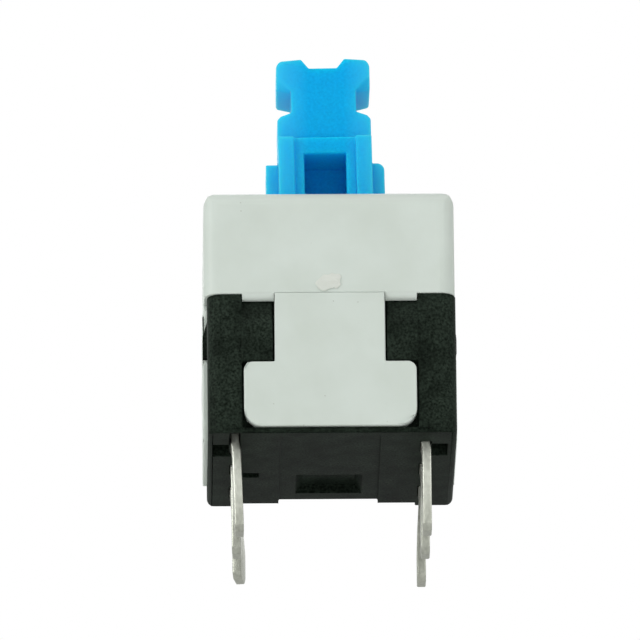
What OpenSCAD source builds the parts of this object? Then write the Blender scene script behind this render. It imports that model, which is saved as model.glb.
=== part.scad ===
// Latching push button switch with a clipped cover and six blade terminals.
// Origin: centre of the seating plane under the base. +Z up, -Y is the latch side.
// All sizes in millimetres. Heights called a rise are measured from the cover's top.

/* [Housing] */
// Width of the cover across X
body_w = 8.5; // [8.3:0.05:9]
// Depth of the cover along Y
body_d = 8.5; // [8.3:0.05:9]
// Height of the cover's top above the seating plane
body_h = 8.6; // [8.4:0.05:9.1]
// Height of the cover's lower rim above the seating plane
rim_z = 4.9; // [4.85:0.05:5.15]
// Radius of the upright corners
corner_r = 0.5; // [0.3:0.05:0.6]
// Radius of the cover's top edges
top_edge_r = 0.55; // [0.3:0.05:0.6]
// Thickness of the cover's side walls
cover_wall = 0.75; // [0.7:0.05:0.8]
// Thickness of the cover's roof
roof_t = 0.8; // [0.6:0.05:0.9]

/* [Base] */
// Step from the cover's faces in to the base's faces
base_inset = 0.04; // [0.02:0.01:0.08]
// How far the base's outer block sits to the right of the clip's middle
base_shift = 0.06; // [0:0.01:0.08]
// Thickness of the base's floor
floor_t = 1.2; // [1:0.05:1.3]
// Thickness of the base's front and rear walls
base_wall = 0.47; // [0.4:0.01:0.5]
// Height of the ledge under the front and side tongues
ledge_h = 0.15; // [0.1:0.01:0.2]
// Radius of the base's lower edges
base_edge_r = 0.15; // [0.1:0.05:0.3]
// Drop from the rim to the snap wedges' tops
wedge_drop = 0.25; // [0.2:0.05:0.4]
// Height of a snap wedge's slope
wedge_slope_h = 0.84; // [0.5:0.02:1]
// How far a wedge's top lies behind the cover's face
wedge_back = 0.2; // [0.1:0.05:0.2]

/* [Snap tongues] */
// Width of a tongue's neck
neck_w = 3.75; // [3.4:0.05:4]
// Width of a tongue's cross bar
bar_w = 5.84; // [5.6:0.02:6]
// Height of the front and rear cross bars' tops
front_bar_z = 2.47; // [2.3:0.01:2.8]
// Height of the side cross bars' tops
side_bar_z = 3.05; // [2.9:0.05:3.3]
// Thickness of the front and rear tongues
front_tongue_t = 0.45; // [0.4:0.01:0.5]
// Thickness of the side tongues
side_tongue_t = 0.27; // [0.25:0.01:0.3]
// How far a tongue stands proud of the cover's face
tongue_proud = 0.05; // [0.03:0.01:0.08]
// How much shorter the rear tongue is
rear_short = 0.15; // [0.1:0.05:0.3]
// Radius of a cross bar's upper corners
bar_upper_r = 0.3; // [0.1:0.05:0.4]
// Radius of a cross bar's lower corners
bar_lower_r = 0.65; // [0.4:0.05:0.9]

/* [Button] */
// Width of the button's stem
stem_w = 3.2; // [3:0.05:3.3]
// Depth of the lower stem
stem_d = 3.2; // [3.1:0.05:3.3]
// Depth of the head and upper stem
head_d = 2.3; // [2:0.1:2.6]
// Width across the guide wings
wing_w = 4.05; // [3.9:0.05:4.2]
// Depth of the guide wings
wing_d = 1.8; // [1.5:0.1:2]
// Rise of the wings' tops
wing_rise = 2.08; // [1.9:0.02:2.3]
// Rise of the step below the upper stem
step_rise = 2.87; // [2.75:0.01:3]
// Rise of the shoulders below the neck
shoulder_rise = 3.61; // [3.5:0.01:3.7]
// Height of the sloping shoulders
shoulder_h = 0.27; // [0.2:0.01:0.3]
// Rise of the ears' undersides at the neck
ear_rise = 4.66; // [4.5:0.02:4.8]
// Rise of the head's top
top_rise = 5.8; // [5.6:0.01:6.1]
// Half width of the neck
neck_half = 1.11; // [0.9:0.01:1.2]
// Width of the channel across the head's top
head_channel_w = 1.48; // [1.2:0.02:1.6]
// Width of that channel's floor
channel_floor_w = 0.96; // [0.8:0.02:1.1]
// Depth of that channel
channel_h = 0.33; // [0.2:0.01:0.4]
// Chamfer of the ears' upper corners
ear_chamfer = 0.12; // [0.05:0.01:0.2]
// Full travel of the button
travel = 2.2; // [1.9:0.05:2.2]
// Room under the carriage with the button fully in
bottom_gap = 0.4; // [0.2:0.05:0.5]
// Distance from the carriage's sides to the blades
carriage_gap = 0.57; // [0.54:0.01:0.65]

/* [Latch] */
// Diameter of the latch wire
wire_d = 0.4; // [0.35:0.01:0.42]
// Bend radius of the wire's centre line
wire_bend_r = 0.35; // [0.3:0.01:0.4]
// Height of the wire's foot above the floor
foot_rise = 0.55; // [0.5:0.05:0.7]
// Depth of the follower below the roof
follower_drop = 0.5; // [0.45:0.01:0.55]
// Distance from the stem's front to the wire's upright part
shank_off = 0.6; // [0.5:0.05:0.7]
// Sideways path of the follower over the full travel
follower_sweep = 0.455; // [0.4:0.005:0.47]
// Half width of the shallow recess between the pillars
pillar_in = 1.05; // [1:0.01:1.1]
// Depth of the shallow recess between the pillars
recess_d = 0.15; // [0.1:0.01:0.2]
// Half width of the groove's upper window
window_half_w = 0.72; // [0.71:0.01:0.76]
// Rise of the window's top
window_rise = 2.28; // [2.2:0.02:2.5]
// Depth of the groove below the shallow recess
groove_d = 1; // [0.8:0.05:1.05]

/* [Springs] */
// Mean diameter of the return spring
spring_d = 2.1; // [2:0.05:2.2]
// Diameter of the return spring's wire
spring_wire_d = 0.22; // [0.18:0.01:0.25]
// Number of coils
spring_coils = 7; // [6:1:8]
// Wall of the plunger between the spring and the groove
crown_t = 0.9; // [0.8:0.05:1]
// Width of the latch's leaf spring
leaf_w = 1.2; // [1:0.05:1.4]
// Length of the leaf's straight part
leaf_straight = 1.4; // [1.2:0.05:1.5]
// Height of the leaf's slanted part
leaf_slant = 1.7; // [1.5:0.05:1.9]
// Thickness of the leaf and of the contact springs
leaf_t = 0.12; // [0.08:0.01:0.14]

/* [Terminals] */
// Distance from the cover's face to the middle of a row of blades
row_inset = 1.03; // [1:0.01:1.06]
// Distance from the cover's face to the end of a row
row_end = 1.25; // [1.2:0.01:1.3]
// Width of a blade
blade_w = 1; // [0.9:0.01:1.05]
// Thickness of a blade
blade_t = 0.3; // [0.25:0.01:0.3]
// Length of a blade below the seating plane
blade_out = 3.1; // [2.5:0.1:3.6]
// Taper of a blade's tip
blade_tip = 0.2; // [0.1:0.02:0.3]
// Width of the ribs between the blades
rib_w = 0.5; // [0.4:0.01:0.5]

/* [Contacts] */
// Width of one contact finger
finger_w = 0.6; // [0.5:0.05:0.7]
// Distance from the ribs to the contact fingers
finger_gap = 0.15; // [0.12:0.01:0.2]
// Height of the contact spring's back strip
plate_h = 0.6; // [0.5:0.05:0.7]
// Distance from the roof down to the back strip's lower edge
plate_drop = 1.7; // [1.6:0.05:1.8]
// Drop from the back strip to the fingers' contact points
finger_drop = 0.8; // [0.7:0.05:0.9]
// Length of a finger's tail below its contact point
finger_tail = 0.7; // [0.5:0.05:0.8]
// Radius of the pegs that carry a contact spring
peg_r = 0.2; // [0.15:0.01:0.22]

/* [Fits] */
// Running clearance round the button in the cover
slide_gap = 0.06; // [0.04:0.01:0.1]
// Gap between the snap tongues and the base
snap_gap = 0.03; // [0.02:0.01:0.05]
// Gap at the sides of the cross bars
bar_gap = 0.06; // [0.04:0.01:0.08]
// Clearance round a blade in its slot and a peg in its hole
slot_gap = 0.02; // [0.01:0.005:0.04]
// Clearance of the latch wire in its foot hole and groove
wire_gap = 0.05; // [0.04:0.005:0.06]
// Gap between a finger and the blades
contact_gap = 0.04; // [0.03:0.005:0.06]
// Gap between neighbouring fixed pieces inside
inner_gap = 0.05; // [0.04:0.005:0.06]
// Clearance inside and outside the return spring
spring_gap = 0.14; // [0.1:0.01:0.16]

/* [Hidden] */
$fn = 48;
cut = 0.5;
join = 0.02;
inner_r = 0.2;

base_w = body_w - 2 * base_inset;
base_d = body_d - 2 * base_inset;
row_w = body_w - 2 * row_inset;
pitch = body_d / 2 - row_end - blade_w / 2;
blade_in_x = row_w / 2 - blade_t / 2;
carriage_w = 2 * (blade_in_x - carriage_gap);
cavity_x = row_w / 2 + blade_t / 2;
front_face = body_d / 2 + tongue_proud;
side_face = body_w / 2 + tongue_proud;
front_wall = front_face - front_tongue_t - snap_gap;
side_wall = side_face - side_tongue_t - snap_gap;
cavity_y = front_wall - base_wall;
cover_in_x = body_w / 2 - cover_wall;
cover_in_y = body_d / 2 - cover_wall;
roof_z = body_h - roof_t;
recess_half = bar_w / 2 + bar_gap;
wedge_w = recess_half - neck_w / 2 - bar_gap;
wedge_top_z = rim_z - wedge_drop;
wedge_knee_z = wedge_top_z - wedge_slope_h;

pocket_h = 0.8;
pocket_d = 1.24;
pocket_shift = 0.38;
relief_h = 0.5;
relief_wall = 0.16;
pit = [0.55, 0.46, 0.25];
pit_at = [-2.675, 0.63];
belly_w = 3.4;
belly_h = 0.08;
belly_end = 0.6;
gate = [1.8, 2.04, 0.4];
gate_y = 0.86;
gate_slope = 0.3;
rear_notch = 0.2;

carriage_bottom_z = floor_t + travel + bottom_gap;
step_z = body_h + step_rise;
follower_z = roof_z - follower_drop;
full_z = follower_z + travel;
bore_r = spring_d / 2 + spring_wire_d / 2 + spring_gap;
bore_top_z = follower_z - crown_t;
recess_low_z = follower_z - wire_d - 0.1;
groove_front = stem_d / 2 - recess_d;
groove_floor = groove_front - groove_d;
groove_turn_h = 0.55;
groove_low_h = 0.75;
heart = [[0.28, 0.62], [0.11, 0.8], [-0.04, 1.5], [-0.01, 1.62],
    [0.22, 1.42], [0.45, 1.7], [0.5, 1.55], [0.5, 0.87]];

wire_r = wire_d / 2;
foot_z = floor_t + foot_rise;
shank_y = -stem_d / 2 - shank_off;
foot_end_y = inner_gap - cavity_y;
boss_w = 1.1;
boss_end_y = shank_y - wire_bend_r - inner_gap;
boss_top_z = foot_z + wire_r + wire_d * 0.75;
channel_half = (wire_r + wire_gap) * 1.03;
post_r = spring_d / 2 - spring_wire_d / 2 - spring_gap;
post_h = 0.7;

leaf_y = leaf_t / 2 - cover_in_y;
leaf_apex_y = shank_y - wire_r - leaf_t - wire_gap / 2;
leaf_tail = 0.6;
leaf_back = 0.25;
leaf_rib_h = 0.8;
leaf_rib_t = 0.3;

plate_low_z = roof_z - plate_drop;
rib_end = blade_w / 2 + inner_gap + rib_w;
finger_pitch = rib_end + finger_gap + finger_w / 2;
finger_apex_x = blade_in_x - contact_gap - leaf_t * 0.6;
finger_apex_z = plate_low_z - finger_drop;
finger_back = 0.25;
plate_w = 2 * finger_pitch + finger_w;
peg_y = finger_pitch / 2;
peg_out = leaf_t + 0.1;
common_top_z = finger_apex_z + finger_drop;
high_arm = [finger_apex_z - 0.45, finger_apex_z + 0.6];
low_arm = [finger_apex_z - travel - 0.25, finger_apex_z - 1.05];
arm_reach = pitch - rib_end - inner_gap;
rib_top_z = rim_z - 0.35;

// A rectangle with round corners, centred.
module round_plan(w, d, r) {
    square([w - 2 * r, d], center = true);
    square([w, d - 2 * r], center = true);
    for (x = [-1, 1], y = [-1, 1])
        translate([x * (w / 2 - r), y * (d / 2 - r)])
            circle(r);
}

// A side view that is round at the two corners of one end, from flat to round_end.
module round_side(w, flat_end, round_end, r) {
    way = sign(round_end - flat_end);
    low = min(flat_end, round_end - way * r);
    high = max(flat_end, round_end - way * r);
    translate([-w / 2, low])
        square([w, high - low]);
    translate([-w / 2 + r, min(flat_end, round_end)])
        square([w - 2 * r, abs(round_end - flat_end)]);
    for (x = [-1, 1])
        translate([x * (w / 2 - r), round_end - way * r])
            circle(r);
}

// A box between two corners.
module span(a, b) {
    translate(a)
        cube(b - a);
}

// An outline in the XZ plane, extruded from y0 to y1.
module front_slab(y0, y1) {
    translate([0, y1, 0])
        rotate([90, 0, 0])
            linear_extrude(y1 - y0)
                children();
}

// An outline in the YZ plane, extruded from x0 to x1.
module side_slab(x0, x1) {
    translate([x0, 0, 0])
        rotate([90, 0, 90])
            linear_extrude(x1 - x0)
                children();
}

// A block with round upright corners and one round end, the other end flat.
module round_block(w, d, flat_end, round_end, plan_r, edge_r) {
    intersection() {
        translate([0, 0, min(flat_end, round_end)])
            linear_extrude(abs(round_end - flat_end))
                round_plan(w, d, plan_r);
        front_slab(-d, d)
            round_side(w, flat_end, round_end, edge_r);
        side_slab(-w, w)
            round_side(d, flat_end, round_end, edge_r);
    }
}

// Turns what is drawn on the front face to each of the given faces.
module faces(turns) {
    for (a = turns)
        rotate([0, 0, a])
            children();
}

// Outline of a bent strip of thickness t along a list of points.
function unit(v) = v / norm(v);
function left_of(v) = [-v[1], v[0]];
function strip_normal(p, i) =
    let (last = len(p) - 1,
        before = left_of(unit(p[max(i, 1)] - p[max(i, 1) - 1])),
        after = left_of(unit(p[min(i, last - 1) + 1] - p[min(i, last - 1)])),
        mean = unit(before + after))
    mean / (mean * before);
function strip_outline(p, t) = concat(
    [for (i = [0:len(p) - 1]) p[i] + strip_normal(p, i) * t / 2],
    [for (i = [len(p) - 1:-1:0]) p[i] - strip_normal(p, i) * t / 2]);

// T-shaped outline of a snap tongue: neck above, cross bar below.
module tongue_outline(bar_top, short = 0) {
    bar_low = ledge_h + snap_gap + short;
    upper = bar_top - bar_upper_r;
    lower = bar_low + bar_lower_r;
    translate([-neck_w / 2, lower])
        square([neck_w, rim_z + join - lower]);
    translate([-bar_w / 2, lower])
        square([bar_w, upper - lower]);
    translate([-bar_w / 2 + bar_upper_r, lower])
        square([bar_w - 2 * bar_upper_r, bar_top - lower]);
    translate([-bar_w / 2 + bar_lower_r, bar_low])
        square([bar_w - 2 * bar_lower_r, upper - bar_low]);
    for (x = [-1, 1]) {
        translate([x * (bar_w / 2 - bar_upper_r), upper])
            circle(bar_upper_r);
        translate([x * (bar_w / 2 - bar_lower_r), lower])
            circle(bar_lower_r);
    }
}

// Two wedges that a cross bar snaps under, drawn on the front face.
module snap_wedges(face, wall, under_z) {
    for (x = [-recess_half, recess_half - wedge_w])
        side_slab(x, x + wedge_w)
            polygon([
                [-wall + join, under_z],
                [-face, under_z],
                [-face, wedge_knee_z],
                [-face + tongue_proud + wedge_back, wedge_top_z],
                [-wall + join, wedge_top_z]]);
}

// The room a tongue drops into, drawn on the front face.
module tongue_room(wall, low_z) {
    span([-recess_half, -wall - body_d, low_z], [recess_half, -wall, rim_z + cut]);
}

module blade_slots() {
    for (side = [-1, 1], row = [-1:1])
        translate([side * row_w / 2, row * pitch, floor_t / 2])
            cube([blade_t + 2 * slot_gap, blade_w + 2 * slot_gap, floor_t + cut],
                center = true);
}

// Core pockets, a slot relief, a gate pit and shallow hollows in the underside.
module underside_marks() {
    for (side = [-1, 1])
        translate([side * (cavity_x + side_wall) / 2, pocket_shift - pitch, 0])
            cube([side_wall - cavity_x - 2 * snap_gap, pocket_d, 2 * pocket_h], center = true);
    span([-cavity_x - slot_gap, relief_wall - base_d / 2, -cut],
        [slot_gap - blade_in_x, -pitch, relief_h]);
    translate([pit_at[0], pit_at[1], 0])
        cube([pit[0], pit[1], 2 * pit[2]], center = true);
    span([-belly_w / 2, belly_end - base_d / 2, -cut], [belly_w / 2, base_d, belly_h]);
    front_slab(gate_y, gate_y + gate[1])
        polygon([
            [-gate[0] / 2 - gate_slope, 0], [-gate[0] / 2, gate[2]],
            [gate[0] / 2, gate[2]], [gate[0] / 2 + gate_slope, 0],
            [gate[0] / 2 + gate_slope, -cut], [-gate[0] / 2 - gate_slope, -cut]]);
    span([-belly_w / 2, front_wall - rear_notch, -cut],
        [belly_w / 2, base_d, front_bar_z - cut]);
}

module base() {
    color([0.12, 0.13, 0.12])
        difference() {
            union() {
                difference() {
                    translate([base_shift, 0, 0])
                        round_block(base_w, base_d, rim_z, 0, corner_r, base_edge_r);
                    translate([0, 0, floor_t])
                        linear_extrude(rim_z)
                            round_plan(2 * cavity_x, 2 * cavity_y, inner_r);
                    tongue_room(front_wall, ledge_h);
                    faces([180])
                        tongue_room(front_wall, -cut);
                    faces([90, 270])
                        tongue_room(side_wall, ledge_h);
                }
                faces([0, 180])
                    snap_wedges(front_face, front_wall, front_bar_z + snap_gap);
                faces([90, 270])
                    snap_wedges(side_face, side_wall, side_bar_z + snap_gap);
                for (side = [-1, 1], end = [-1, 1])
                    translate([side * (row_w / 2 + join / 2), end * (rib_end - rib_w / 2),
                        (floor_t - join + rib_top_z) / 2])
                        cube([blade_t + join, rib_w, rib_top_z - floor_t + join],
                            center = true);
                translate([0, 0, floor_t])
                    cylinder(r = post_r, h = post_h);
                span([-boss_w / 2, -cavity_y - join, floor_t],
                    [boss_w / 2, boss_end_y, boss_top_z]);
            }
            translate([0, -cavity_y, foot_z])
                rotate([-90, 0, 0])
                    cylinder(r = wire_r + wire_gap, h = cavity_y);
            blade_slots();
            underside_marks();
        }
}

module cover() {
    color([0.82, 0.84, 0.81]) {
        difference() {
            round_block(body_w, body_d, rim_z, body_h, corner_r, top_edge_r);
            translate([0, 0, rim_z - cut])
                linear_extrude(roof_z - rim_z + cut)
                    round_plan(2 * cover_in_x, 2 * cover_in_y, inner_r);
            span([-stem_w / 2 - slide_gap, -stem_d / 2 - slide_gap, rim_z],
                [stem_w / 2 + slide_gap, stem_d / 2 + slide_gap, body_h + cut]);
            span([-wing_w / 2 - slide_gap, -wing_d / 2 - slide_gap, rim_z],
                [wing_w / 2 + slide_gap, wing_d / 2 + slide_gap, body_h + cut]);
        }
        front_slab(-front_face, -front_face + front_tongue_t)
            tongue_outline(front_bar_z);
        front_slab(front_face - front_tongue_t, front_face)
            tongue_outline(front_bar_z, rear_short);
        faces([90, 270])
            front_slab(-side_face, -side_face + side_tongue_t)
                tongue_outline(side_bar_z);
        span([-leaf_w / 2, -cover_in_y + leaf_t, roof_z - leaf_rib_h],
            [leaf_w / 2, -cover_in_y + leaf_t + leaf_rib_t, roof_z + join]);
    }
}

// Front view of the upper stem and head, half of it as points from the step up.
module head_outline() {
    half = stem_w / 2;
    neck_low = shoulder_rise + shoulder_h;
    points = [
        [half, step_rise - join], [half, shoulder_rise],
        [half - ear_chamfer, shoulder_rise + shoulder_h / 2], [neck_half, neck_low],
        [neck_half, ear_rise], [half, ear_rise + ear_chamfer],
        [half, top_rise - 2 * ear_chamfer], [half - ear_chamfer, top_rise - ear_chamfer / 2],
        [head_channel_w / 2, top_rise], [channel_floor_w / 2, top_rise - channel_h]];
    left = [for (i = [len(points) - 1:-1:0]) [-points[i][0], points[i][1]]];
    translate([0, body_h])
        polygon(concat(points, left));
}

// The heart groove's outer walls, with the straight window above.
module groove_outline() {
    low = follower_z - wire_r - wire_gap;
    window_z = body_h + window_rise;
    polygon([
        [-channel_half, low],
        [-channel_half, follower_z],
        [-follower_sweep - channel_half, full_z],
        [-window_half_w, full_z + join],
        [-window_half_w, window_z],
        [window_half_w, window_z],
        [window_half_w, full_z],
        [pillar_in, full_z - groove_turn_h],
        [pillar_in, follower_z + groove_low_h],
        [channel_half, low]]);
}

// The heart island that the wire is guided round, with its notch on top.
module island_outline() {
    translate([0, follower_z])
        polygon(heart);
}

module plunger() {
    half = carriage_w / 2;
    color([0.07, 0.64, 0.9])
        difference() {
            union() {
                span([-half, -stem_d / 2, carriage_bottom_z], [half, stem_d / 2, roof_z]);
                span([-stem_w / 2, -stem_d / 2, roof_z - join],
                    [stem_w / 2, stem_d / 2, step_z]);
                span([-wing_w / 2, -wing_d / 2, roof_z - join],
                    [wing_w / 2, wing_d / 2, body_h + wing_rise]);
                front_slab(-head_d / 2, head_d / 2)
                    head_outline();
                for (side = [-1, 1], y = [-peg_y, peg_y])
                    translate([side * (half - join), y, plate_low_z + plate_h / 2])
                        rotate([0, side * 90, 0])
                            cylinder(r = peg_r, h = peg_out + join);
            }
            translate([0, 0, carriage_bottom_z - cut])
                cylinder(r = bore_r, h = bore_top_z - carriage_bottom_z + cut);
            span([-pillar_in, -body_d, recess_low_z], [pillar_in, -groove_front, step_z + cut]);
            front_slab(-body_d, -groove_floor)
                difference() {
                    groove_outline();
                    island_outline();
                }
        }
}

// A round-wire coil spring with closed end coils.
module coil_spring(mean_r, wire, low, high, turns) {
    around = 22;
    sides = 8;
    steps = around * turns;
    rise = high - low - wire;
    end_rise = wire * 1.05;
    function climb(u) =
        u < 1 ? end_rise * u :
        u > turns - 1 ? rise - end_rise * (turns - u) :
        end_rise + (rise - 2 * end_rise) * (u - 1) / (turns - 2);
    rings = [for (i = [0:steps])
        let (u = i / around, a = 360 * u, z = low + wire / 2 + climb(u))
        for (j = [0:sides - 1])
            let (b = 360 * (j + 0.5) / sides, r = mean_r + wire / 2 * cos(b))
            [r * cos(a), r * sin(a), z + wire / 2 * sin(b)]];
    skin = [for (i = [0:steps - 1], j = [0:sides - 1])
        let (k = (j + 1) % sides)
        [i * sides + j, i * sides + k, (i + 1) * sides + k, (i + 1) * sides + j]];
    first = [for (j = [sides - 1:-1:0]) j];
    last = [for (j = [0:sides - 1]) steps * sides + j];
    polyhedron(points = rings, faces = concat(skin, [first, last]), convexity = 10);
}

module return_spring() {
    color([0.75, 0.76, 0.76])
        coil_spring(spring_d / 2, spring_wire_d, floor_t, bore_top_z, spring_coils);
}

// A quarter bend of wire in the YZ plane about [y, z], starting at angle a.
module wire_bend(y, z, a) {
    translate([0, y, z])
        rotate([90, 0, 90])
            rotate([0, 0, a])
                rotate_extrude(angle = 90)
                    translate([wire_bend_r, 0])
                        circle(wire_r);
}

module latch_pin() {
    low = foot_z + wire_bend_r;
    high = follower_z - wire_bend_r;
    foot_y = shank_y - wire_bend_r;
    follower_y = shank_y + wire_bend_r;
    color([0.72, 0.73, 0.74]) {
        translate([0, foot_end_y, foot_z])
            rotate([-90, 0, 0])
                cylinder(r = wire_r, h = foot_y - foot_end_y);
        wire_bend(foot_y, low, -90);
        translate([0, shank_y, low])
            cylinder(r = wire_r, h = high - low);
        wire_bend(follower_y, high, 90);
        translate([0, follower_y, follower_z])
            rotate([-90, 0, 0])
                cylinder(r = wire_r, h = -groove_floor - wire_gap - follower_y);
    }
}

module latch_leaf_spring() {
    bend_z = roof_z - leaf_straight;
    apex_z = bend_z - leaf_slant;
    color([0.8, 0.66, 0.38])
        side_slab(-leaf_w / 2, leaf_w / 2)
            polygon(strip_outline([
                [leaf_y, roof_z], [leaf_y, bend_z], [leaf_apex_y, apex_z],
                [leaf_apex_y - leaf_back, apex_z - leaf_tail]], leaf_t));
}

// One blade seen from the side: stem, tapered tip and an arm towards the middle.
module blade_outline(top, arm, way) {
    half = blade_w / 2;
    polygon([
        [-half + blade_tip, -blade_out], [half - blade_tip, -blade_out],
        [half, -blade_out + blade_tip], [half, top], [-half, top],
        [-half, -blade_out + blade_tip]]);
    if (way != 0)
        translate([way > 0 ? -half : -arm_reach, arm[0]])
            square([arm_reach + half, arm[1] - arm[0]]);
}

module terminal(side, row) {
    top = row == 0 ? common_top_z : (row < 0 ? high_arm[1] : low_arm[1]);
    arm = row < 0 ? high_arm : low_arm;
    color([0.75, 0.76, 0.74])
        translate([side * row_w / 2, row * pitch, 0])
            side_slab(-blade_t / 2, blade_t / 2)
                blade_outline(top, arm, -row);
}

module moving_contact(side) {
    seat = carriage_w / 2;
    mid = seat + leaf_t / 2;
    color([0.8, 0.66, 0.38])
        mirror([side < 0 ? 1 : 0, 0, 0]) {
            difference() {
                span([seat, -plate_w / 2, plate_low_z],
                    [seat + leaf_t, plate_w / 2, plate_low_z + plate_h]);
                for (y = [-peg_y, peg_y])
                    translate([seat - cut, y, plate_low_z + plate_h / 2])
                        rotate([0, 90, 0])
                            cylinder(r = peg_r + slot_gap, h = 2 * cut);
            }
            for (y = [-finger_pitch, 0, finger_pitch])
                front_slab(y - finger_w / 2, y + finger_w / 2)
                    polygon(strip_outline([
                        [mid, plate_low_z + join], [mid, plate_low_z - leaf_t],
                        [finger_apex_x, finger_apex_z],
                        [finger_apex_x - finger_back, finger_apex_z - finger_tail]], leaf_t));
        }
}

base();
cover();
plunger();
return_spring();
latch_pin();
latch_leaf_spring();
terminal(-1, -1);  // terminal_left_front
terminal(-1, 0);  // terminal_left_middle
terminal(-1, 1);  // terminal_left_rear
terminal(1, -1);  // terminal_right_front
terminal(1, 0);  // terminal_right_middle
terminal(1, 1);  // terminal_right_rear
moving_contact(-1);  // moving_contact_left
moving_contact(1);  // moving_contact_right
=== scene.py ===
import math

import bmesh
import bpy
from mathutils import Matrix, Vector


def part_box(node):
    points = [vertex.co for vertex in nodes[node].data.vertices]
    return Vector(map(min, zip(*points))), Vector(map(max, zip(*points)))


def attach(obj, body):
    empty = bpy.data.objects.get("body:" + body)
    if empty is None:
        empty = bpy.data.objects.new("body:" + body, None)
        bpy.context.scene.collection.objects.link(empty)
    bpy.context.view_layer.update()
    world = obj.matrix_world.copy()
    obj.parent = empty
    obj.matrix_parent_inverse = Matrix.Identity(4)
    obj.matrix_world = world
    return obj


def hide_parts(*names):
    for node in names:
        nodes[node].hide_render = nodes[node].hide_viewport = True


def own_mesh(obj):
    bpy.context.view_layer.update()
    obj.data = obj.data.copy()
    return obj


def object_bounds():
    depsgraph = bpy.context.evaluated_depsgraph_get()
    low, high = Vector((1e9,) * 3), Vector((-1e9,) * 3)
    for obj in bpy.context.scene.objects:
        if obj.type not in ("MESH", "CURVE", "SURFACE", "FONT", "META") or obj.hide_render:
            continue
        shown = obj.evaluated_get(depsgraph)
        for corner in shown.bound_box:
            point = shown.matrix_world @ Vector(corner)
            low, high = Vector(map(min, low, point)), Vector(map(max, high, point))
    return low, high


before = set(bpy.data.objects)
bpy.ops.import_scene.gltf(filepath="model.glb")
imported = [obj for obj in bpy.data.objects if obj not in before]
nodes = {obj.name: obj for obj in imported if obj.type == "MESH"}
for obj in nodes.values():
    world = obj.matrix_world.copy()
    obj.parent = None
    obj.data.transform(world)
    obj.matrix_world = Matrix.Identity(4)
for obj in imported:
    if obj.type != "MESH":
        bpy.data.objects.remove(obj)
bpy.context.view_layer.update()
mm = 0.001


# Base: the tray that carries everything, injection moulded in black glass-filled PBT.
# Glass fibres near the skin leave it satin and finely mottled, and the tool's corners
# leave every edge a little round.
def ink(text):
    """The linear colour of an sRGB hex value."""
    parts = [int(text[i:i + 2], 16) / 255 for i in (0, 2, 4)]
    return [c / 12.92 if c <= 0.04045 else ((c + 0.055) / 1.055) ** 2.4 for c in parts] + [1.0]


def add(tree, kind, links=None, **settings):
    """Adds a node; settings are its attributes or inputs, links its linked inputs."""
    node = tree.nodes.new("ShaderNode" + kind)
    for name, value in settings.items():
        if hasattr(node, name) and name not in node.inputs:
            setattr(node, name, value)
        else:
            node.inputs[name.replace("_", " ")].default_value = value
    for name, socket in (links or {}).items():
        tree.links.new(socket, node.inputs[name])
    return node


def skin_material(name):
    """An empty node material and the object coordinates that its patterns read."""
    made = bpy.data.materials.new(name)
    made.use_nodes = True
    made.node_tree.nodes.clear()
    place = add(made.node_tree, "TexCoord").outputs["Object"]
    return made, made.node_tree, place


def two_tone(tree, place, first, second, size_mm, detail=3.0):
    """Clouds of two colours, size_mm across, from the middle of one noise's range."""
    cloud = add(tree, "TexNoise", {"Vector": place}, Scale=1 / (size_mm * mm), Detail=detail)
    share = add(tree, "MapRange", {"Value": cloud.outputs["Fac"]}, From_Min=0.3, From_Max=0.7)
    tint = add(tree, "Mix", {"Factor": share.outputs["Result"]}, data_type="RGBA")
    tint.inputs[6].default_value = first
    tint.inputs[7].default_value = second
    return tint.outputs[2], cloud.outputs["Fac"]


def filled_plastic(name, dark, light, mottle_mm, field, field_mm):
    """Glass-filled plastic: fibres just under the skin mottle it in two close greys, and
    the melt's flow leaves broad darker fields."""
    made, tree, place = skin_material(name)
    fine, mottle = two_tone(tree, place, ink(dark), ink(light), mottle_mm, detail=4.0)
    broad, _ = two_tone(tree, place, ink(field), ink("ffffff"), field_mm, detail=2.0)
    colour = add(tree, "Mix", data_type="RGBA", blend_type="MULTIPLY")
    colour.inputs["Factor"].default_value = 1.0
    tree.links.new(fine, colour.inputs[6])
    tree.links.new(broad, colour.inputs[7])
    rough = add(tree, "MapRange", {"Value": mottle}, To_Min=0.4, To_Max=0.6)
    bump = add(tree, "Bump", {"Height": mottle}, Strength=0.8, Distance=0.009 * mm)
    skin = add(tree, "BsdfPrincipled", {
        "Base Color": colour.outputs[2], "Roughness": rough.outputs["Result"],
        "Normal": bump.outputs["Normal"]}, IOR=1.5, Specular_IOR_Level=0.02)
    add(tree, "OutputMaterial", {"Surface": skin.outputs["BSDF"]})
    return made


def finish_solid(name, finish):
    """Puts a finish on a CAD node."""
    for held in nodes[name].material_slots:
        held.material = finish


# Corners nearer than the first are one, and edges sharper than the second are rounded.
one_corner = 0.0005 * mm
sharp_edge = math.radians(35)


def ease_edges(name, edge_mm):
    """Rounds a CAD node's sharp edges with live modifiers, its faces staying flat."""
    piece = nodes[name]
    weld = piece.modifiers.new("Weld", "WELD")
    weld.merge_threshold = one_corner
    edge = piece.modifiers.new("Edge", "BEVEL")
    edge.width = edge_mm * mm
    edge.segments = 3
    edge.limit_method = "ANGLE"
    edge.angle_limit = sharp_edge
    edge.use_clamp_overlap = False
    edge.harden_normals = True


# The fibres' mottle is really about 0.02 mm across, and is drawn wide enough to show.
# The plastics reflect little, or the white room would veil their colour.
fibre_mottle_mm = 0.08
flow_field_mm = 0.9
black_pbt = filled_plastic("glass_filled_black_pbt", "0e150f", "313b33", fibre_mottle_mm,
                           "b4b6b4", flow_field_mm)
finish_solid("base", black_pbt)
ease_edges("base", 0.04)


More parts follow.
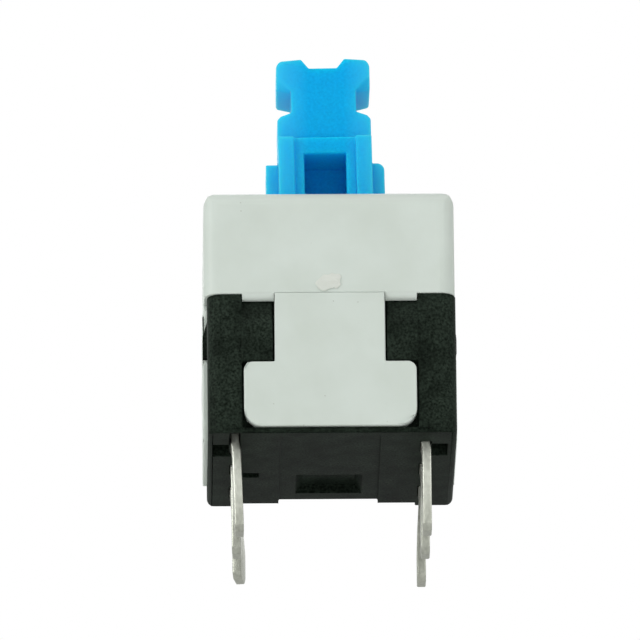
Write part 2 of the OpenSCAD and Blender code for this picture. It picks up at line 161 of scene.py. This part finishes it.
# Terminals: six blades stamped from brass strip, tin plated and pressed into the base's
# slots. The sheared narrow sides are dull and streaked, and handling has bent the tips
# a little inwards, the rear ones most.
def plated_metal(name, dark, light, tip_shade, roughness, streak_mm):
    """Matt tin over sheared brass: a soft grey sheen, blotched, and painted darker towards the
    tips, a painted shade that stands for the darker reflections there."""
    made, tree, place = skin_material(name)
    along = add(tree, "Mapping", {"Vector": place}, vector_type="POINT", Scale=(1, 1, 0.5))
    colour, streak = two_tone(tree, along.outputs["Vector"], ink(dark), ink(light), streak_mm)
    rough = add(tree, "MapRange", {"Value": streak},
                To_Min=roughness - 0.1, To_Max=roughness + 0.15)
    height = add(tree, "SeparateXYZ", {"Vector": place})
    tip_shade_share = add(tree, "MapRange", {"Value": height.outputs["Z"]},
              From_Min=tip_shade_from, From_Max=tip_shade_full)
    tint = add(tree, "Mix", {"Factor": tip_shade_share.outputs["Result"]}, data_type="RGBA",
               blend_type="MULTIPLY")
    tree.links.new(colour, tint.inputs[6])
    tint.inputs[7].default_value = ink(tip_shade)
    grain = add(tree, "TexNoise", {"Vector": place}, Scale=1 / (tin_grain_mm * mm), Detail=2.0)
    bump = add(tree, "Bump", {"Height": grain.outputs["Fac"]}, Strength=0.8,
               Distance=0.01 * mm)
    skin = add(tree, "BsdfPrincipled", {
        "Base Color": tint.outputs[2], "Roughness": rough.outputs["Result"],
        "Normal": bump.outputs["Normal"]}, Metallic=1.0)
    add(tree, "OutputMaterial", {"Surface": skin.outputs["BSDF"]})
    return made


def merged_copy(name, new_name):
    """A copy of a CAD node's mesh in edit mode, its corners merged and its flat faces
    made whole, so that its edges can be rounded."""
    bpy.ops.object.select_all(action="DESELECT")
    piece = bpy.data.objects.new(new_name, nodes[name].data.copy())
    bpy.context.scene.collection.objects.link(piece)
    piece.select_set(True)
    bpy.context.view_layer.objects.active = piece
    bpy.ops.object.mode_set(mode="EDIT")
    bpy.ops.mesh.select_all(action="SELECT")
    bpy.ops.mesh.remove_doubles(threshold=one_corner)
    bpy.ops.mesh.dissolve_limited(angle_limit=math.radians(1))
    return piece


def pick(piece, kind, test):
    """Selects in edit mode just the verts, edges or faces that pass a test."""
    bpy.ops.mesh.select_all(action="DESELECT")
    bpy.ops.mesh.select_mode(type=kind)
    shape = bmesh.from_edit_mesh(piece.data)
    parts = {"VERT": shape.verts, "EDGE": shape.edges, "FACE": shape.faces}[kind]
    for part in parts:
        if test(part):
            part.select_set(True)
    shape.select_flush_mode()
    bmesh.update_edit_mesh(piece.data)


def round_off(width_mm, segments):
    """Rounds the picked edges by their full width, however close their neighbours are."""
    bpy.ops.mesh.bevel(offset=width_mm * mm, segments=segments, affect="EDGES",
                       clamp_overlap=False)


crease = math.radians(40)


def finish_piece(piece, finish, slot, body, *replaced):
    """Leaves edit mode, smooths the rounds, and gives a piece its finish and its body."""
    if bpy.context.mode != "OBJECT":
        bpy.ops.object.mode_set(mode="OBJECT")
    piece.data.materials.clear()
    piece.data.materials.append(finish)
    bpy.ops.object.shade_smooth_by_angle(angle=crease)
    even = piece.modifiers.new("Even", "WEIGHTED_NORMAL")
    even.keep_sharp = True
    bpy.ops.object.modifier_apply(modifier=even.name)
    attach(piece, body)
    if replaced:
        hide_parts(*replaced)


# Tin's own grain is a few thousandths of a millimetre, and is drawn coarser to show.
tin_grain_mm = 0.06
# The tin is painted darker from the first height down to the second: painted shade for the
# darker reflections near the tips.
tip_shade_from, tip_shade_full = -1.2 * mm, -2.6 * mm
tin = plated_metal("matt_tin_on_brass", "b9bcb1", "d4d7cc", "dadad8", 0.45, 0.12)
root_z = -0.02 * mm
bend_rows = [-0.2 * mm, -1.1 * mm, -2.0 * mm]
bends = len(bend_rows)
blade_round_mm = 0.05
just_under = 0.01 * mm
# How far each blade is knocked aside at its root, its lean at the tip, its twist in
# degrees and how much longer it is.
blade_bends = {
    "terminal_left_front": (0.04, 0.08, 0, 0.0),
    "terminal_left_middle": (0.02, 0.03, 3, 0.0),
    "terminal_left_rear": (0.02, 0.04, 10, 0.12),
    "terminal_right_front": (0.03, 0.0, 0, 0.0),
    "terminal_right_middle": (0.03, -0.02, 0, 0.03),
    "terminal_right_rear": (0.02, -0.1, 0, 0.25)}
for name, (root_mm, lean_mm, twist, longer_mm) in blade_bends.items():
    blade = merged_copy(name, name.replace("terminal", "blade"))
    low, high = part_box(name)
    middle = (low + high) / 2
    for z in [root_z, *bend_rows]:
        bpy.ops.mesh.select_all(action="SELECT")
        bpy.ops.mesh.bisect(plane_co=(0, 0, z), plane_no=(0, 0, 1))
    pick(blade, "VERT", lambda v: v.co.z < root_z - just_under)
    bpy.ops.transform.translate(value=(root_mm * mm, 0, 0))
    for z in bend_rows:
        pick(blade, "VERT", lambda v: v.co.z < z - just_under)
        bpy.ops.transform.translate(value=(lean_mm * mm / bends, 0, -longer_mm * mm / bends))
        bpy.ops.transform.rotate(value=math.radians(twist / bends), orient_axis="Z",
                                 center_override=(middle.x, middle.y, z))
    bpy.ops.mesh.select_all(action="DESELECT")
    bpy.ops.mesh.edges_select_sharp(sharpness=crease)
    round_off(blade_round_mm, 3)
    finish_piece(blade, tin, "tinned_brass", "housing", name)


# Return spring: seven turns of drawn steel wire standing on the base's floor round its
# post, with the end turns closed. It pushes the button up.
coil_mm = 2.1
wire_mm = 0.22
wire_sides, turn_steps = 12, 40
free_turns = 5
closed_rise_mm = wire_mm * 1.05


def spring_turns(name, start_z, rise_mm, turns):
    """Some turns of the spring, screwed up from one round section of its wire."""
    bpy.ops.mesh.primitive_circle_add(
        vertices=wire_sides, radius=wire_mm / 2 * mm, fill_type="NOTHING",
        location=(coil_mm / 2 * mm, 0, start_z), rotation=(math.pi / 2, 0, 0))
    piece = bpy.context.object
    piece.name = name
    bpy.ops.object.transform_apply(location=True, rotation=True, scale=True)
    screw = piece.modifiers.new("Screw", "SCREW")
    screw.angle = 2 * math.pi
    screw.screw_offset = rise_mm / turns * mm
    screw.iterations = turns
    screw.steps = screw.render_steps = turn_steps
    screw.use_normal_calculate = True
    bpy.ops.object.modifier_apply(modifier=screw.name)
    return piece


spring_low, spring_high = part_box("return_spring")
coil_height_mm = (spring_high.z - spring_low.z) / mm
free_mm = coil_height_mm - wire_mm - 2 * closed_rise_mm
first_z = spring_low.z + wire_mm / 2 * mm
last_z = spring_high.z - (wire_mm / 2 + closed_rise_mm) * mm
turn_gap = 0.002 * mm
turns = [spring_turns("spring_top_turn", last_z, closed_rise_mm, 1),
         spring_turns("spring_low_turn", first_z, closed_rise_mm, 1),
         spring_turns("return_coil", first_z + closed_rise_mm * mm, free_mm, free_turns)]
for piece in turns:
    piece.select_set(True)
bpy.ops.object.join()
spring = bpy.context.object
bpy.ops.object.mode_set(mode="EDIT")
bpy.ops.mesh.select_all(action="SELECT")
bpy.ops.mesh.remove_doubles(threshold=turn_gap)
bpy.ops.mesh.select_all(action="SELECT")
bpy.ops.mesh.fill_holes(sides=wire_sides)
bpy.ops.mesh.select_all(action="SELECT")
bpy.ops.mesh.normals_make_consistent(inside=False)


def bare_metal(name, dark, light, size_mm, stretch, rough_low, rough_high):
    """Bright metal, unplated: clouds of two tints, stretched along the way it was worked."""
    made, tree, place = skin_material(name)
    worked = add(tree, "Mapping", {"Vector": place}, vector_type="POINT", Scale=stretch)
    colour, cloud = two_tone(tree, worked.outputs["Vector"], ink(dark), ink(light), size_mm)
    rough = add(tree, "MapRange", {"Value": cloud}, To_Min=rough_low, To_Max=rough_high)
    skin = add(tree, "BsdfPrincipled", {
        "Base Color": colour, "Roughness": rough.outputs["Result"]}, Metallic=1.0)
    add(tree, "OutputMaterial", {"Surface": skin.outputs["BSDF"]})
    return made


# Drawn wire keeps a cloudy film of oil.
steel = bare_metal("drawn_spring_steel", "7d7e7e", "a6a7a6", 0.25, (1, 1, 1), 0.22, 0.4)
finish_piece(spring, steel, "spring_steel", "housing", "return_spring")
stroke_mm = 2.2
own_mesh(spring)

# Latch wire: a hook of the same drawn steel. Its foot turns in a hole in the base's
# front wall, and its upper end follows the heart-shaped groove in the button.
finish_solid("latch_pin", steel)

# Contact springs: two combs of phosphor bronze strip, pushed on pegs at the carriage's
# sides, that bridge the blades. The strip is warm, with faint rolling lines. They are
# nearer 0.01 mm apart, and are drawn coarser to show.
bronze = bare_metal("rolled_phosphor_bronze", "a5794a", "c19563", 0.05, (1, 1, 0.15),
                    0.25, 0.42)
for name in ("moving_contact_left", "moving_contact_right"):
    finish_solid(name, bronze)


# Button: one moulding in blue ABS that is slightly see-through, so light spreads in it
# and its edges and undersides stay bright. It hangs in the cover's opening with play,
# and so stands a little askew.
def clear_blue_plastic(name, colour, shade, highlight_tint, ripple_mm, spread_mm):
    """Tinted ABS: light spreads inside it under a faintly rippled satin skin, and its outer
    parts are painted paler, a painted highlight where the side light falls on them."""
    made, tree, place = skin_material(name)
    deep, cloud = two_tone(tree, place, ink(shade), ink(colour), ripple_mm)
    across = add(tree, "SeparateXYZ", {"Vector": place})
    outward = add(tree, "Math", {"Value": across.outputs["X"]}, operation="ABSOLUTE")
    highlight_share = add(tree, "MapRange", {"Value": outward.outputs[0]},
               From_Min=highlight_from, From_Max=highlight_full)
    tint = add(tree, "Mix", {"Factor": highlight_share.outputs["Result"]}, data_type="RGBA")
    tree.links.new(deep, tint.inputs[6])
    tint.inputs[7].default_value = ink(highlight_tint)
    rough = add(tree, "MapRange", {"Value": cloud}, To_Min=0.36, To_Max=0.5)
    bump = add(tree, "Bump", {"Height": cloud}, Strength=0.5, Distance=0.006 * mm)
    skin = add(tree, "BsdfPrincipled", {
        "Base Color": tint.outputs[2], "Roughness": rough.outputs["Result"],
        "Normal": bump.outputs["Normal"]}, IOR=1.54, Specular_IOR_Level=0.04,
        Subsurface_Weight=0.8, Subsurface_Radius=(0.4, 0.8, 1.0),
        Subsurface_Scale=spread_mm * mm)
    add(tree, "OutputMaterial", {"Surface": skin.outputs["BSDF"]})
    return made


# From the first distance out from the middle to the second, the blue is painted paler: a
# painted highlight on the ears and wings.
highlight_from, highlight_full = 0.6 * mm, 1.7 * mm
# The skin's ripple is really about 0.03 mm, and is drawn coarser to show.
blue_abs = clear_blue_plastic("tinted_blue_abs", "10b3e8", "0ca3dc", "38b8e4", 0.09, 1.2)
button = merged_copy("plunger", "push_button")


def near(value, *targets):
    """True where a value is within a hundredth of a millimetre of a target."""
    return any(abs(value - target) < 0.01 * mm for target in targets)


cover_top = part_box("cover")[1].z
head_front, stem_front = -1.15 * mm, -1.6 * mm
groove_back = -0.45 * mm
# The slot over the heart groove runs deeper into the stem.
slot_low = cover_top + 0.15 * mm
slot_deeper = 0.75 * mm
pick(button, "FACE", lambda f: near(f.calc_center_median().y, groove_back)
     and f.normal.y < -0.9)
bpy.ops.mesh.bisect(plane_co=(0, 0, slot_low), plane_no=(0, 0, 1))
pick(button, "FACE", lambda f: near(f.calc_center_median().y, groove_back)
     and f.normal.y < -0.9 and f.calc_center_median().z > slot_low)
bpy.ops.mesh.extrude_region_move(TRANSFORM_OT_translate={"value": (0, slot_deeper, 0)})
# Every edge is drawn soft by the shrinking plastic: the ears' lower edges most, then
# the right wing's upper edges, the sides of the head, the pillars' inner edges and the
# slot's mouth.
ear_rise, neck_rise, wing_rise = 4.66 * mm, 4.2 * mm, 2.08 * mm
ear_x, head_x, wing_x = 1.1 * mm, 1.4 * mm, 2 * mm
ear_edge = 0.14 * mm
pillar_x, slot_x = 1.05 * mm, 0.72 * mm
recess_front = -1.45 * mm
head_deep = 1.4 * mm
# The least that an edge turns by to be picked, in radians.
slight_turn, square_turn = 0.3, 0.6
pick(button, "EDGE", lambda e: e.calc_face_angle(0) > square_turn and all(
    near(v.co.y, head_front) and abs(v.co.x) > ear_x
    and abs(v.co.z - cover_top - ear_rise) < ear_edge for v in e.verts))
round_off(0.4, 8)
pick(button, "EDGE", lambda e: e.calc_face_angle(0) > slight_turn
     and near(e.verts[0].co.x, e.verts[1].co.x) and all(
         abs(v.co.x) > head_x and v.co.z > cover_top + neck_rise for v in e.verts)
     and abs(e.verts[0].co.y - e.verts[1].co.y) > head_deep)
round_off(0.09, 4)
pick(button, "EDGE", lambda e: all(
    near(v.co.z, cover_top + wing_rise) and v.co.x > wing_x for v in e.verts))
round_off(0.26, 6)
pick(button, "EDGE", lambda e: e.calc_face_angle(0) > square_turn and all(
    (near(abs(v.co.x), pillar_x) and near(v.co.y, stem_front))
    or (near(abs(v.co.x), slot_x) and near(v.co.y, recess_front)) for v in e.verts))
round_off(0.07, 4)
bpy.ops.mesh.select_all(action="DESELECT")
bpy.ops.mesh.edges_select_sharp(sharpness=sharp_edge)
round_off(0.045, 3)
# The stop on its right side is moulded lower, and so clears the roof as it leans.
roof_under = cover_top - 0.8 * mm
stop_x, stop_edge = 1.5 * mm, 0.06 * mm
stop_lower = 0.045 * mm
pick(button, "VERT", lambda v: v.co.x > stop_x and abs(v.co.z - roof_under) < stop_edge)
bpy.ops.transform.translate(value=(0, 0, -stop_lower))
# It leans until its stem all but touches the opening's side, fully in or out.
play_mm = 0.055
lean = math.radians(0.85)
bpy.ops.mesh.select_all(action="SELECT")
bpy.ops.transform.rotate(value=lean, orient_axis="Y", center_override=(0, 0, 0))
pressed_z = cover_top / mm + stroke_mm
bpy.ops.transform.translate(value=(pressed_z * math.tan(lean) * mm - play_mm * mm, 0, 0))
finish_piece(button, blue_abs, "blue_plastic", "button", "plunger")

# Latch leaf: a bent strip of phosphor bronze between the cover and its inner rib. It
# presses the latch wire into the button's groove.
finish_solid("latch_leaf_spring", bronze)


# Cover: a white PBT cap pushed over the base until the cross bars of its four tongues
# drop under the base's wedges. Satin, a touch see-through at thin edges, and with a few
# dark specks of carried-over material.
def white_plastic(name, colour, shade, speck):
    """Unfilled white plastic: very even, with faint clouds, specks and a soft skin."""
    made, tree, place = skin_material(name)
    tint, cloud = two_tone(tree, place, ink(shade), ink(colour), cloud_mm)
    dots = add(tree, "TexVoronoi", {"Vector": place}, Scale=1 / (speck_gap_mm * mm))
    inside = add(tree, "Math", {"Value": dots.outputs["Distance"]}, operation="LESS_THAN")
    inside.inputs[1].default_value = speck_r_mm / speck_gap_mm
    marked = add(tree, "Mix", {"Factor": inside.outputs[0]}, data_type="RGBA")
    tree.links.new(tint, marked.inputs[6])
    marked.inputs[7].default_value = ink(speck)
    grain = add(tree, "TexNoise", {"Vector": place}, Scale=1 / (spark_mm * mm), Detail=2.0)
    rough = add(tree, "MapRange", {"Value": cloud}, To_Min=0.42, To_Max=0.55)
    bump = add(tree, "Bump", {"Height": grain.outputs["Fac"]}, Strength=0.5,
               Distance=0.004 * mm)
    skin = add(tree, "BsdfPrincipled", {
        "Base Color": marked.outputs[2], "Roughness": rough.outputs["Result"],
        "Normal": bump.outputs["Normal"]}, IOR=1.55, Specular_IOR_Level=0.25,
        Subsurface_Weight=0.15, Subsurface_Radius=(1.0, 1.0, 0.9),
        Subsurface_Scale=0.4 * mm)
    add(tree, "OutputMaterial", {"Surface": skin.outputs["BSDF"]})
    return made


# The tool's spark-eroded grain is really about 0.02 mm, and is drawn coarser to show.
spark_mm = 0.07
cloud_mm = 1.6
speck_gap_mm, speck_r_mm = 0.62, 0.0217
white_pbt = white_plastic("satin_white_pbt", "cbd4cd", "c5cec6", "a9b0a6")
finish_solid("cover", white_pbt)
ease_edges("cover", 0.045)

# Rim lips: the cover's wall is thick at its rim, and its round lower edge shows over
# each of the base's wedges. They are moulded with the cover.
cover_front = -4.25 * mm
rim_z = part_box("base")[1].z
lip_w, lip_h, lip_d = 1.07 * mm, 0.24 * mm, 0.2 * mm
lip_x = 2.42 * mm
lip_y = cover_front + 0.003 * mm + lip_d / 2
lip_z = rim_z - lip_h / 2 + 0.02 * mm
bpy.ops.object.select_all(action="DESELECT")
bpy.ops.mesh.primitive_cube_add(size=1, location=(lip_x, lip_y, lip_z),
                                scale=(lip_w, lip_d, lip_h))
lip = bpy.context.object
lip.name = "rim_lip_0_right"
bpy.ops.object.transform_apply(location=True, rotation=True, scale=True)
bpy.ops.object.mode_set(mode="EDIT")
pick(lip, "EDGE", lambda e: all(v.co.z < lip_z and v.co.y < lip_y for v in e.verts))
round_off(0.195, 8)
bpy.ops.object.mode_set(mode="OBJECT")
lips = [lip]
for side in ("right", "left"):
    for quarter in range(4):
        if (side, quarter) == ("right", 0):
            continue
        other = lip.copy()
        other.data = lip.data.copy()
        other.name = f"rim_lip_{quarter}_{side}"
        bpy.context.scene.collection.objects.link(other)
        slide = Matrix.Translation((-2 * lip_x if side == "left" else 0, 0, 0))
        other.data.transform(Matrix.Rotation(quarter * math.pi / 2, 4, "Z") @ slide)
        lips.append(other)
for piece in lips:
    bpy.ops.object.select_all(action="DESELECT")
    piece.select_set(True)
    bpy.context.view_layer.objects.active = piece
    finish_piece(piece, white_pbt, "white_plastic", "housing")

# Gate mark: the scar where the cover's runner was broken off, a low torn blister just
# above the front tongue.
scar_r, scar_thick = 0.34 * mm, 0.03 * mm
scar_at = (0.04 * mm, cover_front - 0.005 * mm, 5.32 * mm)
scar_rings = ((0.07, 0.012), (0.06, -0.008), (0.06, 0.008))
scar_peak = 0.004 * mm
tear_reaches = (("X", 0.5), ("Z", 0.4), ("Y", 0.05))
bpy.ops.object.select_all(action="DESELECT")
bpy.ops.mesh.primitive_cylinder_add(
    vertices=32, radius=scar_r, depth=scar_thick, location=scar_at,
    rotation=(math.pi / 2, 0, 0), scale=(1.25, 0.75, 1))
scar = bpy.context.object
scar.name = "gate_scar"
bpy.ops.object.transform_apply(location=True, rotation=True, scale=True)
bpy.ops.object.mode_set(mode="EDIT")
pick(scar, "FACE", lambda f: f.normal.y < -0.9)
for width_mm, rise_mm in scar_rings:
    bpy.ops.mesh.inset(thickness=width_mm * mm, depth=rise_mm * mm)
bpy.ops.mesh.poke(offset=scar_peak)
bpy.ops.mesh.select_all(action="SELECT")
bpy.ops.mesh.subdivide(number_cuts=1)
bpy.ops.object.mode_set(mode="OBJECT")
tear = bpy.data.textures.new("tear", "CLOUDS")
tear.noise_scale = 0.45 * mm
for way, reach_mm in tear_reaches:
    torn = scar.modifiers.new("Torn", "DISPLACE")
    torn.texture = tear
    torn.direction = way
    torn.strength = reach_mm * mm
    bpy.ops.object.modifier_apply(modifier=torn.name)
# The scar's plastic is painted paler than the cover's, a painted highlight on the blister.
scar_highlight_pbt = white_plastic("scar_highlight_white_pbt", "d8dcd3", "cdd3ca", "bcc2b9")
finish_piece(scar, scar_highlight_pbt, "white_plastic", "housing")

# Floor: white paper under the blades' tips. Seen from below it is clear, so that the
# camera and the low lamp look through it, and it still takes the object's shadow.
floor_m, floor_gap = 3.0, 0.02 * mm
floor_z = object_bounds()[0].z - floor_gap
bpy.ops.mesh.primitive_plane_add(size=floor_m, location=(0, 0, floor_z))
floor = bpy.context.object
floor.name = "floor"
bpy.ops.object.transform_apply(location=True, rotation=True, scale=True)
paper = bpy.data.materials.new("white_paper")
paper.use_nodes = True
tree = paper.node_tree
tree.nodes.clear()
ray = add(tree, "LightPath")
side = add(tree, "NewGeometry")
chalk = add(tree, "BsdfDiffuse", Color=ink("f6f6f4"))
clear = add(tree, "BsdfTransparent")
under = add(tree, "Math", operation="MAXIMUM")
tree.links.new(side.outputs["Backfacing"], under.inputs[0])
tree.links.new(ray.outputs["Is Shadow Ray"], under.inputs[1])
# In reflections the paper shows a little under the room's white.
glow = add(tree, "Emission", Strength=0.8)
top = add(tree, "MixShader", {"Fac": ray.outputs["Is Glossy Ray"]})
tree.links.new(chalk.outputs[0], top.inputs[1])
tree.links.new(glow.outputs[0], top.inputs[2])
sheet = add(tree, "MixShader", {"Fac": under.outputs[0]})
tree.links.new(top.outputs[0], sheet.inputs[1])
tree.links.new(clear.outputs[0], sheet.inputs[2])
add(tree, "OutputMaterial", {"Surface": sheet.outputs[0]})
floor.data.materials.append(paper)

# World: a white room. The camera and the glossy skins see it as plain white, and it
# lights the object with only a soft fill, so that pale plastic keeps its colour.
room = bpy.data.worlds.new("white_room")
bpy.context.scene.world = room
room.use_nodes = True
tree = room.node_tree
tree.nodes.clear()
white = (1, 1, 1, 1)
ray = add(tree, "LightPath")
fill = add(tree, "Background", Color=white, Strength=0.33)
plain = add(tree, "Background", Color=white, Strength=1.0)
seen = add(tree, "Math", operation="MAXIMUM")
tree.links.new(ray.outputs["Is Camera Ray"], seen.inputs[0])
tree.links.new(ray.outputs["Is Glossy Ray"], seen.inputs[1])
through = add(tree, "Math", operation="MAXIMUM")
tree.links.new(seen.outputs[0], through.inputs[0])
tree.links.new(ray.outputs["Is Transmission Ray"], through.inputs[1])
sky = add(tree, "MixShader", {"Fac": through.outputs[0]})
tree.links.new(fill.outputs[0], sky.inputs[1])
tree.links.new(plain.outputs[0], sky.inputs[2])
add(tree, "OutputWorld", {"Surface": sky.outputs[0]})


# Lamps: broad soft panels on all sides, as in a white light tent. The left one is the
# strongest, so the right sides lie in a light shade.
def bearing(azimuth, elevation):
    """The direction from the object at an azimuth, 0 in front, and an elevation."""
    return Vector((math.sin(azimuth) * math.cos(elevation),
                   -math.cos(azimuth) * math.cos(elevation), math.sin(elevation)))


panel_reach = 0.6
object_middle = Vector((0, 0, 5 * mm))


def panel(name, azimuth, elevation, size, power):
    """A square panel, its size in metres and its power in watts, facing the object."""
    out = bearing(math.radians(azimuth), math.radians(elevation))
    light = bpy.data.lights.new(name, "AREA")
    light.shape = "SQUARE"
    light.size = size
    light.energy = power
    made = bpy.data.objects.new(name, light)
    bpy.context.scene.collection.objects.link(made)
    made.location = out * panel_reach + object_middle
    made.rotation_mode = "QUATERNION"
    made.rotation_quaternion = out.to_track_quat("Z", "Y")
    made.visible_camera = False


panel("panel_left", -60, 8, 0.25, 1.65)
panel("panel_right", 62, 12, 0.25, 0.55)
panel("panel_top", 10, 60, 0.4, 1.03)
panel("panel_low", 0, -32, 0.4, 0.85)
panel("panel_back", 180, 35, 0.4, 0.6)

# Camera: a long lens half a metre in front of the object and below it, looking up. It
# is turned and set off a little, so the object stands askew in the frame.
frame_px = 640
px = mm / 29.298
azimuth, elevation, roll = math.radians(-0.87), math.radians(-18.4), math.radians(-0.59)
reach = 0.4928
aim = Vector((0, 0, 5.31 * mm))
off_centre = Vector((-7.8 * px, 1.2 * px, 0))
out = bearing(azimuth, elevation)
lens = bpy.data.cameras.new("camera")
camera = bpy.data.objects.new("camera", lens)
bpy.context.scene.collection.objects.link(camera)
lens.sensor_width = 36
lens.lens = lens.sensor_width * reach / (frame_px * px)
lens.clip_start, lens.clip_end = 0.01, 10
turn = (-out).to_track_quat("-Z", "Y") @ Matrix.Rotation(roll, 3, "Z").to_quaternion()
camera.rotation_mode = "QUATERNION"
camera.rotation_quaternion = turn
camera.location = aim + out * reach + turn @ off_centre
bpy.context.scene.camera = camera
bpy.context.scene.view_settings.view_transform = "Standard"
